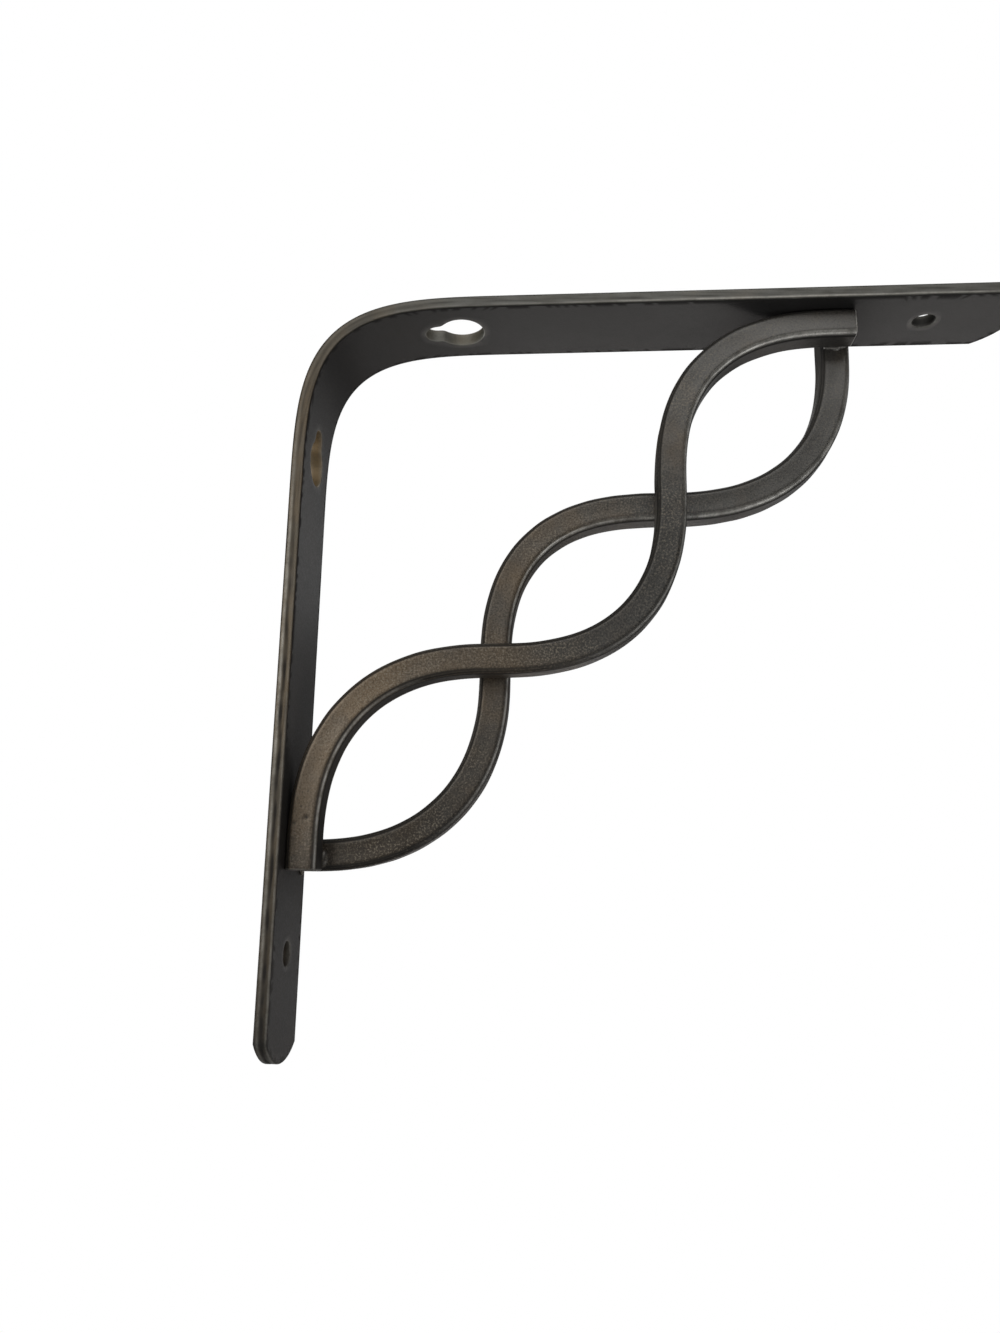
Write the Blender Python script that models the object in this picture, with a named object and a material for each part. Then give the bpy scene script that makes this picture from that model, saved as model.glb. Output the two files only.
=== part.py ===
# Welded steel shelf bracket: a flat strap bent into an L, braced by two crossing waves of square rod.
# Metres. X runs out from the wall along the shelf, Y runs along the wall and Z is up.
# The wall face is X = 0, the strap is centred on Y = 0, and the origin is on the wall face
# midway between the wall arm's keyhole and its screw hole.
import bmesh
import bpy
import numpy as np

# Strap. Each arm's length and screw hole are measured from the outer corner, and its end is cut
# to a shallow arc that sits tip_shift off the strap's centre line.
strap_width = 0.025
strap_thickness = 0.0035
wall_arm = {"length": 0.2010, "screw": 0.1751, "tip_shift": 0.0015}
shelf_arm = {"length": 0.1972, "screw": 0.1723, "tip_shift": -0.0029}
bend_reach = 0.060         # how far the bend eases into each arm
bend_power = 3.9           # 2 is a round bend, more is squarer
tip_radius = 0.019
strap_edge = 0.0006        # rounding of the strap's long edges

# Holes, the same on both arms
keyhole_drop = 0.0435      # centre of the keyhole's round end, from the outer corner
keyhole_head = 0.0128      # diameter of the round end
keyhole_slot = 0.007       # width of the slot, which runs towards the corner
keyhole_slot_end = 0.033   # closed end of the slot, from the outer corner
screw_hole = 0.0062        # diameter of the plain hole near each tip

# Square rods. Each is bent in three quarter turns, given from the wall end as (reach, squareness).
rod_side = 0.008
rod_edge = 0.0014
front_turns = ((0.047, 2.4), (0.0465, 2.55), (0.047, 2.55))
back_turns = ((0.0478, 2.4), (0.0462, 2.7), (0.0473, 2.5))
back_drop = 0.1508         # back rod's centre line where it meets the wall arm, below the shelf face
back_straight = 0.003      # the back rod leaves the wall arm straight for this far

gap = 0.0003               # clearance that the separate solids keep from each other
turn_steps = 22            # straight facets along a rod's quarter turn
bend_steps = 28            # along the strap's bend
round_steps = 24           # around half a hole
edge_steps = 2             # across a rounded edge
sharp_angle = 35           # degrees; flatter joins between facets are shaded smooth
cut_over = 0.004           # how far cutters run past the faces they cut

shelf_z = (keyhole_drop + wall_arm["screw"]) / 2
inner_x = strap_thickness
inner_z = shelf_z - strap_thickness


def clear_scene():
    for thing in list(bpy.data.objects):
        bpy.data.objects.remove(thing, do_unlink=True)


def coated_steel(name, color, roughness):
    material = bpy.data.materials.new(name)
    material.use_nodes = True
    shader = material.node_tree.nodes["Principled BSDF"]
    shader.inputs["Base Color"].default_value = (*color, 1.0)
    shader.inputs["Roughness"].default_value = roughness
    shader.inputs["Metallic"].default_value = 0.35
    return material


def quarter(reach, power, steps):
    """Quarter of the curve |x/reach|^power + |z/reach|^power = 1, starting along +Z and ending along +X."""
    turn = np.linspace(0.0, np.pi / 2, steps + 1)
    along = reach - reach * np.cos(turn).clip(0.0) ** (2 / power)
    up = reach * np.sin(turn) ** (2 / power)
    return np.stack([along, up], axis=1)


def offset(line, distance):
    """The same line, moved sideways to the left of its direction of travel."""
    heading = np.gradient(line, axis=0)
    heading /= np.linalg.norm(heading, axis=1)[:, None]
    return line + distance * np.stack([-heading[:, 1], heading[:, 0]], axis=1)


def wave(start, starts_upright, turns, tail_in, tail_out):
    """Quarter turns joined end to end, each turning the other way, with a straight run at both ends."""
    upright = np.array((0.0, 1.0))
    level = np.array((1.0, 0.0))
    heading = upright if starts_upright else level
    start = np.array(start)
    pieces = [[start - heading * tail_in], [start]]
    for reach, power in turns:
        turn = quarter(reach, power, turn_steps)
        if heading is level:
            turn = turn[:, ::-1]
        pieces.append(pieces[-1][-1] + turn[1:])
        heading = level if heading is upright else upright
    pieces.append([pieces[-1][-1] + heading * tail_out])
    return np.concatenate(pieces)


def link(name, mesh, material):
    thing = bpy.data.objects.new(name, mesh)
    bpy.context.collection.objects.link(thing)
    if material:
        mesh.materials.append(material)
    return thing


def solid_from_outline(name, outline, depth, material=None):
    """Extrude a closed outline of 3-D points by a vector; returns the object."""
    body = bmesh.new()
    face = body.faces.new([body.verts.new(point) for point in outline])
    pushed = bmesh.ops.extrude_face_region(body, geom=[face])["geom"]
    moved = [item for item in pushed if isinstance(item, bmesh.types.BMVert)]
    bmesh.ops.translate(body, verts=moved, vec=depth)
    bmesh.ops.recalc_face_normals(body, faces=body.faces)
    mesh = bpy.data.meshes.new(name)
    body.to_mesh(mesh)
    body.free()
    return link(name, mesh, material)


def bent_bar(name, left, right, y_front, y_back, edge_radius, material):
    """A bar between two side lines in XZ, as deep as y_front to y_back, with its four long edges rounded."""
    outline = [(x, y_front, z) for x, z in np.concatenate([left, right[::-1]])]
    bar = solid_from_outline(name, outline, (0.0, y_back - y_front, 0.0), material)
    body = bmesh.new()
    body.from_mesh(bar.data)
    ends = [(left[0] + right[0]) / 2, (left[-1] + right[-1]) / 2]

    def runs_along(edge):
        middle = (edge.verts[0].co + edge.verts[1].co) / 2
        same_side = abs(edge.verts[0].co.y - edge.verts[1].co.y) < gap
        return same_side and all(np.hypot(middle.x - x, middle.z - z) > gap for x, z in ends)

    bmesh.ops.bevel(body, geom=[edge for edge in body.edges if runs_along(edge)], offset=edge_radius,
                    offset_type="OFFSET", segments=edge_steps, profile=0.5, affect="EDGES")
    body.to_mesh(bar.data)
    body.free()
    bar.data.shade_smooth()
    bar.data.set_sharp_from_angle(angle=np.radians(sharp_angle))
    return bar


def cut(target, cutter):
    cutter.hide_render = True
    cutter.display_type = "WIRE"
    boolean = target.modifiers.new("cut by " + cutter.name, "BOOLEAN")
    boolean.operation = "DIFFERENCE"
    boolean.solver = "EXACT"
    boolean.object = cutter


def circle_arc(centre, radius, start, end, steps):
    angles = np.linspace(start, end, steps + 1)
    return [(centre + radius * np.cos(angle), radius * np.sin(angle)) for angle in angles]


def keyhole_outline():
    """Points along and across the arm: a round end, and a narrower slot from it towards the corner."""
    head = keyhole_head / 2
    slot = keyhole_slot / 2
    opening = np.arcsin(slot / head)
    around = circle_arc(keyhole_drop, head, opening - np.pi, np.pi - opening, 3 * round_steps // 2)
    slot_centre = keyhole_slot_end + slot
    return around + circle_arc(slot_centre, slot, np.pi / 2, 3 * np.pi / 2, round_steps)


def screw_outline(arm):
    return circle_arc(arm["screw"], screw_hole / 2, 0.0, 2 * np.pi, 2 * round_steps)[:-1]


def tip_outline(arm):
    """The waste beyond the arc that the arm's tip is cut to."""
    half = strap_width / 2 + abs(arm["tip_shift"]) + cut_over / 2
    reach = np.arcsin(half / tip_radius)
    waste = circle_arc(arm["length"] - tip_radius, tip_radius, -reach, reach, round_steps)
    beyond = arm["length"] + cut_over
    return [(along, across + arm["tip_shift"]) for along, across in waste + [(beyond, half), (beyond, -half)]]


def arm_cutters(arm_name, arm, to_world, through):
    for kind, outline in (("keyhole", keyhole_outline()), ("screw_hole", screw_outline(arm)),
                          ("tip", tip_outline(arm))):
        points = [to_world(along, across) for along, across in outline]
        yield solid_from_outline(arm_name + "_" + kind + "_cutter", points, through)


def strap():
    bend = quarter(bend_reach, bend_power, bend_steps) + (0.0, shelf_z - bend_reach)
    foot = (0.0, shelf_z - wall_arm["length"])
    outer = np.concatenate([[foot], bend, [(shelf_arm["length"], shelf_z)]])
    inner = offset(outer, -strap_thickness)
    bar = bent_bar("bracket_strap", outer, inner, -strap_width / 2, strap_width / 2, strap_edge,
                   coated_steel("strap coating", (0.035, 0.032, 0.030), 0.45))
    depth = strap_thickness + 2 * cut_over
    wall = arm_cutters("wall", wall_arm, lambda along, across: (-cut_over, across, shelf_z - along),
                       (depth, 0.0, 0.0))
    shelf = arm_cutters("shelf", shelf_arm, lambda along, across: (along, across, shelf_z + cut_over),
                        (0.0, 0.0, -depth))
    for cutter in [*wall, *shelf]:
        cut(bar, cutter)
    return bar


def rods():
    half = rod_side / 2
    clear = half + gap                       # centre line to the strap's inner face
    back_z = shelf_z - back_drop
    back_x = inner_x + gap + back_straight
    back_span = sum(reach for reach, power in back_turns)
    back_line = wave((back_x, back_z), False, back_turns, back_straight, inner_z - gap - back_z - back_span)

    # The front rod lies along both arms, and its cut ends are flush with the back rod's outer sides.
    front_span = sum(reach for reach, power in front_turns)
    front_start = (inner_x + clear, inner_z - clear - front_span)
    front_line = wave(front_start, True, front_turns, front_start[1] - (back_z - half),
                      back_x + back_span + half - front_start[0] - front_span)
    coating = (0.060, 0.052, 0.045)
    for name, line, y_front, y_back in (("front_wave_rod", front_line, -rod_side, -gap / 2),
                                        ("back_wave_rod", back_line, gap / 2, rod_side)):
        bent_bar(name, offset(line, half), offset(line, -half), y_front, y_back, rod_edge,
                 coated_steel(name + " coating", coating, 0.5))


clear_scene()
strap()
rods()
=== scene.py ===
import bmesh
import bpy
import numpy as np
from mathutils import Matrix, Quaternion, Vector


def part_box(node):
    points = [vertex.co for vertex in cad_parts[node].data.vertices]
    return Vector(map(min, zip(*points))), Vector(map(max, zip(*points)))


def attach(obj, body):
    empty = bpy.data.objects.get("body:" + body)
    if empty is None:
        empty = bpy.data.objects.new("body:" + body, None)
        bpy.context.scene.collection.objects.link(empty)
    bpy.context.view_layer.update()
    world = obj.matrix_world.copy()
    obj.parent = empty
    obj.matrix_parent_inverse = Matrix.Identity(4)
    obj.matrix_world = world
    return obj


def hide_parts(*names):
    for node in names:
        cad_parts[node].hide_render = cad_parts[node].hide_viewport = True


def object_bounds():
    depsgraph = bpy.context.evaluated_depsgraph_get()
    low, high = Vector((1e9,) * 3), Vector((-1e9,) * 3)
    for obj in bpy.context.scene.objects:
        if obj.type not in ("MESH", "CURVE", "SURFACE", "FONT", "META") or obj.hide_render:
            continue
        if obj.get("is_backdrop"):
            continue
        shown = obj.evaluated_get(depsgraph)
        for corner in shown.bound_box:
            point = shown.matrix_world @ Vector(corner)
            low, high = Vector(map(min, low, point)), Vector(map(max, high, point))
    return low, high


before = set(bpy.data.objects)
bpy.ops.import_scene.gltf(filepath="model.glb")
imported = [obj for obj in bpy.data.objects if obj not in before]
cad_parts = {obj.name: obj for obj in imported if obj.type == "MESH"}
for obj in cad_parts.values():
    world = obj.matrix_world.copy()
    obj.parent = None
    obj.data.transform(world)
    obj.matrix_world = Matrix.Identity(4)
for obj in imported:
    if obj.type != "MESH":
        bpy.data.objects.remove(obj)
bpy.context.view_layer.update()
print("frame loaded:", sorted(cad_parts))

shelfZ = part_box("bracket_strap")[1].z      # the face that carries the shelf
mm = 0.001


# Shapes that more than one piece uses.

def quarterTurn(reach, power, steps=400):
    # Quarter of the curve |x/reach|^power + |z/reach|^power = 1, setting off along +Z and ending along +X.
    turn = np.linspace(0, np.pi / 2, steps + 1)
    along = reach - reach * np.cos(turn).clip(0) ** (2 / power)
    return np.column_stack([along, reach * np.sin(turn) ** (2 / power)])


def evenPoints(line, spacing):
    # The same line, with points about one spacing apart by its own length.
    run = np.concatenate([[0], np.cumsum(np.linalg.norm(np.diff(line, axis=0), axis=1))])
    stations = np.linspace(0, run[-1], int(np.ceil(run[-1] / spacing)) + 1)
    return np.column_stack([np.interp(stations, run, line[:, 0]), np.interp(stations, run, line[:, 1])])


def headings(line):
    # Unit direction of travel at each point: the difference of its two neighbours, made one long.
    step = np.gradient(line, axis=0)
    return step / np.linalg.norm(step, axis=1)[:, None]


def wobble(points, size, seed):
    # Smooth uneven field, about -1 to 1: twice the mean of eight sine waves about one size long, whose
    # directions come from a seed.
    draw = np.random.default_rng(seed)
    waves = draw.normal(size=(points.shape[-1], 8))
    waves *= draw.uniform(0.7, 1.6, 8) * 2 * np.pi / size / np.linalg.norm(waves, axis=0)
    return np.sin(points @ waves + draw.uniform(0, 2 * np.pi, 8)).mean(axis=-1) * 2


def gridFaces(rows, columns, ring):
    # Four corners of every cell of a grid of points, row by row. A ring joins the last column to the first.
    across = columns if ring else columns - 1
    row, column = np.meshgrid(np.arange(rows - 1), np.arange(across), indexing="ij")
    after = (column + 1) % columns
    start, below = row * columns, (row + 1) * columns
    return np.stack([start + column, start + after, below + after, below + column], axis=-1).reshape(-1, 4)


def patch(points, ring=False, wearAndHighlight=0.0, shade=0.0, shear=0.0, tone=1.0):
    # A grid of points with what its finish needs: wear and painted highlight (rubbed ridges), shade (dark
    # lines and marks, painted shade among them), shear (cut edges) and tone (how light the coat is).
    return {"points": points, "ring": ring, "wearAndHighlight": wearAndHighlight, "shade": shade, "shear": shear, "tone": tone}


def pieceFromPatches(name, patches, material, body="root"):
    # Joins patches into one closed mesh with outward faces. Their finish values become point attributes.
    points = np.concatenate([one["points"].reshape(-1, 3) for one in patches])
    starts = np.cumsum([0] + [one["points"].shape[0] * one["points"].shape[1] for one in patches])
    faces = [gridFaces(*one["points"].shape[:2], one["ring"]) + start for one, start in zip(patches, starts)]
    mesh = bpy.data.meshes.new(name)
    mesh.from_pydata(points, [], np.concatenate(faces))
    for key in ("wearAndHighlight", "shade", "shear", "tone"):
        values = [np.broadcast_to(one[key], one["points"].shape[:2]).ravel() for one in patches]
        attribute = mesh.attributes.new(key, "FLOAT", "POINT")
        attribute.data.foreach_set("value", np.concatenate(values).astype("f"))
    work = bmesh.new()
    work.from_mesh(mesh)
    bmesh.ops.remove_doubles(work, verts=work.verts, dist=2e-6)
    bmesh.ops.dissolve_degenerate(work, dist=1e-6, edges=work.edges)
    bmesh.ops.recalc_face_normals(work, faces=work.faces)
    openEdges = sum(not edge.is_manifold for edge in work.edges)
    work.to_mesh(mesh)
    work.free()
    mesh.shade_smooth()
    mesh.materials.append(material)
    piece = bpy.data.objects.new(name, mesh)
    bpy.context.scene.collection.objects.link(piece)
    print(name, "has", len(mesh.polygons), "faces and", openEdges, "open edges")
    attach(piece, body)
    return piece


# Finishes.

def nodeGroup(name, inputs, outputs):
    # A new shader node group with these sockets, and its input and output nodes.
    group = bpy.data.node_groups.new(name, "ShaderNodeTree")
    for socketName, kind, value in inputs:
        socket = group.interface.new_socket(socketName, in_out="INPUT", socket_type="NodeSocket" + kind)
        if value is not None:
            socket.default_value = value
    for socketName, kind in outputs:
        group.interface.new_socket(socketName, in_out="OUTPUT", socket_type="NodeSocket" + kind)
    return group, group.nodes.new("NodeGroupInput"), group.nodes.new("NodeGroupOutput")


def addNode(tree, kind, settings=(), values=(), links=()):
    # A shader node with its settings, its sockets' fixed values and what is linked to them.
    node = tree.nodes.new("ShaderNode" + kind)
    for key, value in dict(settings).items():
        setattr(node, key, value)
    for key, value in dict(values).items():
        node.inputs[key].default_value = value
    for key, source in dict(links).items():
        tree.links.new(source, node.inputs[key])
    return node


def ramp(tree, source, low, high, outLow=0.0, outHigh=1.0):
    # Eased step from outLow to outHigh while source goes from low to high.
    node = addNode(tree, "MapRange", {"clamp": True, "interpolation_type": "SMOOTHSTEP"},
                   {"From Min": low, "From Max": high, "To Min": outLow, "To Max": outHigh},
                   {"Value": source})
    return node.outputs["Result"]


def times(tree, first, second):
    # The product of two values, each a number or a socket.
    node = addNode(tree, "Math", {"operation": "MULTIPLY"})
    for socket, source in zip(node.inputs, (first, second)):
        if isinstance(source, (int, float)):
            socket.default_value = source
        else:
            tree.links.new(source, socket)
    return node.outputs["Value"]


def blendColor(tree, share, under, over):
    # From the colour under to the colour over as the share goes from 0 to 1.
    node = addNode(tree, "Mix", {"data_type": "RGBA"})
    for socket, source in ((node.inputs[0], share), (node.inputs[6], under), (node.inputs[7], over)):
        if isinstance(source, (float, tuple)):
            socket.default_value = source if isinstance(source, float) else (*source[:3], 1.0)
        else:
            tree.links.new(source, socket)
    return node.outputs[2]


def makePowderGrain():
    # Fine pebbled skin of a powder coat: height for the bump, and masks of its paler flakes and darker pits.
    group, given, result = nodeGroup("powderGrain", [
        ("Vector", "Vector", None), ("Grain Size", "Float", 1300.0), ("Flakes", "Float", 0.5),
        ("Pits", "Float", 0.5),
    ], [("Height", "Float"), ("Flake Mask", "Float"), ("Pit Mask", "Float"), ("Roughness Shift", "Float")])
    pebbles = addNode(group, "TexNoise", {}, {"Detail": 2.0, "Roughness": 0.55},
                      {"Vector": given.outputs["Vector"], "Scale": given.outputs["Grain Size"]})
    where = {"Vector": given.outputs["Vector"]}
    orangePeel = addNode(group, "TexNoise", {}, {"Scale": 420.0, "Detail": 1.0}, where)
    height = addNode(group, "Math", {"operation": "MULTIPLY_ADD"}, {1: 0.5},
                     {0: orangePeel.outputs["Fac"], 2: pebbles.outputs["Fac"]})
    speck = addNode(group, "TexNoise", {}, {"Scale": 1900.0, "Detail": 3.0, "Roughness": 0.7}, where)
    drifts = addNode(group, "TexNoise", {}, {"Scale": 45.0, "Detail": 2.0}, where)
    across = addNode(group, "SeparateXYZ", {}, {}, where)
    thick = times(group, ramp(group, drifts.outputs["Fac"], 0.38, 0.6, 0.35, 1.0),
                  ramp(group, across.outputs["X"], 0.06, 0.15, 1.0, 0.4))
    flakes = times(group, thick, given.outputs["Flakes"])
    flakes = times(group, flakes, ramp(group, speck.outputs["Fac"], 0.5, 0.66))
    pits = times(group, ramp(group, speck.outputs["Fac"], 0.5, 0.34), given.outputs["Pits"])
    group.links.new(height.outputs["Value"], result.inputs["Height"])
    group.links.new(flakes, result.inputs["Flake Mask"])
    group.links.new(pits, result.inputs["Pit Mask"])
    roughShift = ramp(group, speck.outputs["Fac"], 0.3, 0.7, -0.06, 0.06)
    group.links.new(roughShift, result.inputs["Roughness Shift"])
    return group


def makeBronzeMottle():
    # Cloudy change of colour over the coat: grey, turning brown towards the wall and in patches.
    group, given, result = nodeGroup("bronzeMottle", [
        ("Vector", "Vector", None),
        ("Grey", "Color", None), ("Brown", "Color", None), ("Dark", "Color", None),
        ("Patch Size", "Float", 60.0), ("Brown Reach", "Float", 0.09), ("Amount", "Float", 0.7),
    ], [("Color", "Color")])
    brownClouds = addNode(group, "TexNoise", {}, {"Detail": 4.0, "Roughness": 0.6},
                          {"Vector": given.outputs["Vector"], "Scale": given.outputs["Patch Size"]})
    across = addNode(group, "SeparateXYZ", {}, {}, {"Vector": given.outputs["Vector"]})
    nearWall = addNode(group, "MapRange", {"clamp": True}, {"From Min": 0.0, "To Min": 0.42, "To Max": -0.12},
                       {"Value": across.outputs["X"], "From Max": given.outputs["Brown Reach"]})
    leaning = addNode(group, "Math", {"operation": "ADD"}, {},
                      {0: brownClouds.outputs["Fac"], 1: nearWall.outputs["Result"]})
    browned = blendColor(group, ramp(group, leaning.outputs["Value"], 0.4, 0.98),
                         given.outputs["Grey"], given.outputs["Brown"])
    moved = addNode(group, "VectorMath", {"operation": "ADD"}, {1: (0.31, 0.17, 0.53)},
                    {0: given.outputs["Vector"]})
    darkClouds = addNode(group, "TexNoise", {}, {"Detail": 5.0, "Roughness": 0.65},
                         {"Vector": moved.outputs["Vector"], "Scale": given.outputs["Patch Size"]})
    darkShare = times(group, ramp(group, darkClouds.outputs["Fac"], 0.42, 0.68), given.outputs["Amount"])
    group.links.new(blendColor(group, darkShare, browned, given.outputs["Dark"]), result.inputs["Color"])
    return group


def makeEdgeWearAndPaintedLight():
    # Rubbed ridges with painted highlights, and dark lines that are mostly painted shade: the attributes of
    # the edges, broken up by noise, over the coat's colour.
    group, given, result = nodeGroup("edgeWearAndPaintedLight", [
        ("Vector", "Vector", None), ("Wear And Highlight", "Float", 0.0), ("Shade", "Float", 0.0),
        ("Color", "Color", None), ("Bare And Highlight", "Color", None), ("Line", "Color", None),
        ("Amount", "Float", 0.6), ("Depth", "Float", 0.8),
    ], [("Color", "Color"), ("Mask", "Float")])
    broken = addNode(group, "TexNoise", {}, {"Scale": 240.0, "Detail": 4.0, "Roughness": 0.65},
                     {"Vector": given.outputs["Vector"]})
    patches = ramp(group, broken.outputs["Fac"], 0.3, 0.65, 0.35, 1.0)
    lined = times(group, given.outputs["Shade"], given.outputs["Depth"])
    shaded = blendColor(group, lined, given.outputs["Color"], given.outputs["Line"])
    mask = times(group, times(group, given.outputs["Wear And Highlight"], patches), given.outputs["Amount"])
    group.links.new(blendColor(group, mask, shaded, given.outputs["Bare And Highlight"]), result.inputs["Color"])
    group.links.new(mask, result.inputs["Mask"])
    return group


powderGrain = makePowderGrain()
bronzeMottle = makeBronzeMottle()
edgeWearAndPaintedLight = makeEdgeWearAndPaintedLight()


def mottleNode(tree, place, colors, look):
    return addNode(tree, "Group", {"node_tree": bronzeMottle},
                   {"Grey": (*colors[0], 1), "Brown": (*colors[1], 1), "Dark": (*colors[2], 1),
                    "Patch Size": look["patchSize"], "Brown Reach": look["brownReach"],
                    "Amount": look["mottle"]}, {"Vector": place}).outputs["Color"]


def coatMaterial(name, look):
    material = bpy.data.materials.new(name)
    material.use_nodes = True
    tree = material.node_tree
    shader = tree.nodes["Principled BSDF"]
    shader.inputs["Metallic"].default_value = look["metallic"]
    shader.inputs["IOR"].default_value = look["ior"]
    place = addNode(tree, "TexCoord").outputs["Object"]

    def attribute(key):
        return addNode(tree, "Attribute", {"attribute_name": key}).outputs["Fac"]

    grain = addNode(tree, "Group", {"node_tree": powderGrain},
                    {"Grain Size": look["grainSize"], "Flakes": look["flakes"], "Pits": look["pits"]},
                    {"Vector": place})
    coat = mottleNode(tree, place, look["faceColors"], look)
    if "edgeColors" in look:
        edgeCoat = mottleNode(tree, place, look["edgeColors"], look)
        coat = blendColor(tree, attribute("shear"), coat, edgeCoat)
    toned = addNode(tree, "VectorMath", {"operation": "SCALE"}, {},
                    {"Vector": coat, "Scale": attribute("tone")})
    pitted = blendColor(tree, grain.outputs["Pit Mask"], toned.outputs["Vector"], look["line"])
    flaked = blendColor(tree, grain.outputs["Flake Mask"], pitted, look["flakeColor"])
    shade = attribute("shade")
    wearAndPaintedLight = addNode(tree, "Group", {"node_tree": edgeWearAndPaintedLight},
                   {"Bare And Highlight": (*look["bareAndHighlight"], 1), "Line": (*look["line"], 1), "Amount": look["wearAndHighlight"],
                    "Depth": look["lineDepth"]},
                   {"Vector": place, "Wear And Highlight": attribute("wearAndHighlight"), "Shade": shade, "Color": flaked})
    shifted = addNode(tree, "Math", {"operation": "ADD"}, {1: look["roughness"]},
                      {0: grain.outputs["Roughness Shift"]})
    dulled = addNode(tree, "Math", {"operation": "MULTIPLY_ADD"}, {1: look["lineDull"]},
                     {0: shade, 2: shifted.outputs["Value"]})
    rough = addNode(tree, "Math", {"operation": "MULTIPLY_ADD", "use_clamp": True}, {1: -0.1},
                    {0: wearAndPaintedLight.outputs["Mask"], 2: dulled.outputs["Value"]})
    bump = addNode(tree, "Bump", {}, {"Strength": look["bump"], "Distance": 0.00006},
                   {"Height": grain.outputs["Height"]})
    tree.links.new(wearAndPaintedLight.outputs["Color"], shader.inputs["Base Color"])
    tree.links.new(rough.outputs["Value"], shader.inputs["Roughness"])
    tree.links.new(bump.outputs["Normal"], shader.inputs["Normal"])
    return material


# grey, brown and dark tone of each coat, on the faces and on sheared edges; its flakes, its rubbed ridges
# with painted highlight and its dark lines of painted shade; and how strong and how large each effect is
rodLook = {
    "faceColors": ((0.062, 0.060, 0.056), (0.104, 0.075, 0.046), (0.040, 0.039, 0.037)),
    "flakeColor": (0.20, 0.175, 0.135), "bareAndHighlight": (0.74, 0.73, 0.69), "line": (0.009, 0.008, 0.007),
    "metallic": 0.3, "ior": 1.5, "roughness": 0.34,
    "grainSize": 2100.0, "flakes": 0.85, "pits": 0.5, "bump": 0.45,
    "patchSize": 55.0, "brownReach": 0.13, "mottle": 0.5,
    "wearAndHighlight": 1.0, "lineDepth": 0.95, "lineDull": 0.45,
}
strapLook = {
    "faceColors": ((0.028, 0.028, 0.028), (0.034, 0.029, 0.026), (0.020, 0.020, 0.020)),
    "edgeColors": ((0.080, 0.080, 0.072), (0.080, 0.054, 0.024), (0.038, 0.034, 0.022)),
    "flakeColor": (0.09, 0.085, 0.075), "bareAndHighlight": (0.38, 0.37, 0.34), "line": (0.010, 0.009, 0.008),
    "metallic": 0.3, "ior": 1.5, "roughness": 0.36,
    "grainSize": 2100.0, "flakes": 0.3, "pits": 0.2, "bump": 0.25,
    "patchSize": 45.0, "brownReach": 0.06, "mottle": 0.6,
    "wearAndHighlight": 0.55, "lineDepth": 0.9, "lineDull": 0.4,
}
rodCoat = coatMaterial("darkBronzeRodCoat", rodLook)
strapCoat = coatMaterial("darkBronzeStrapCoat", strapLook)
print("finishes made")


# Wavy square rods.

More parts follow.
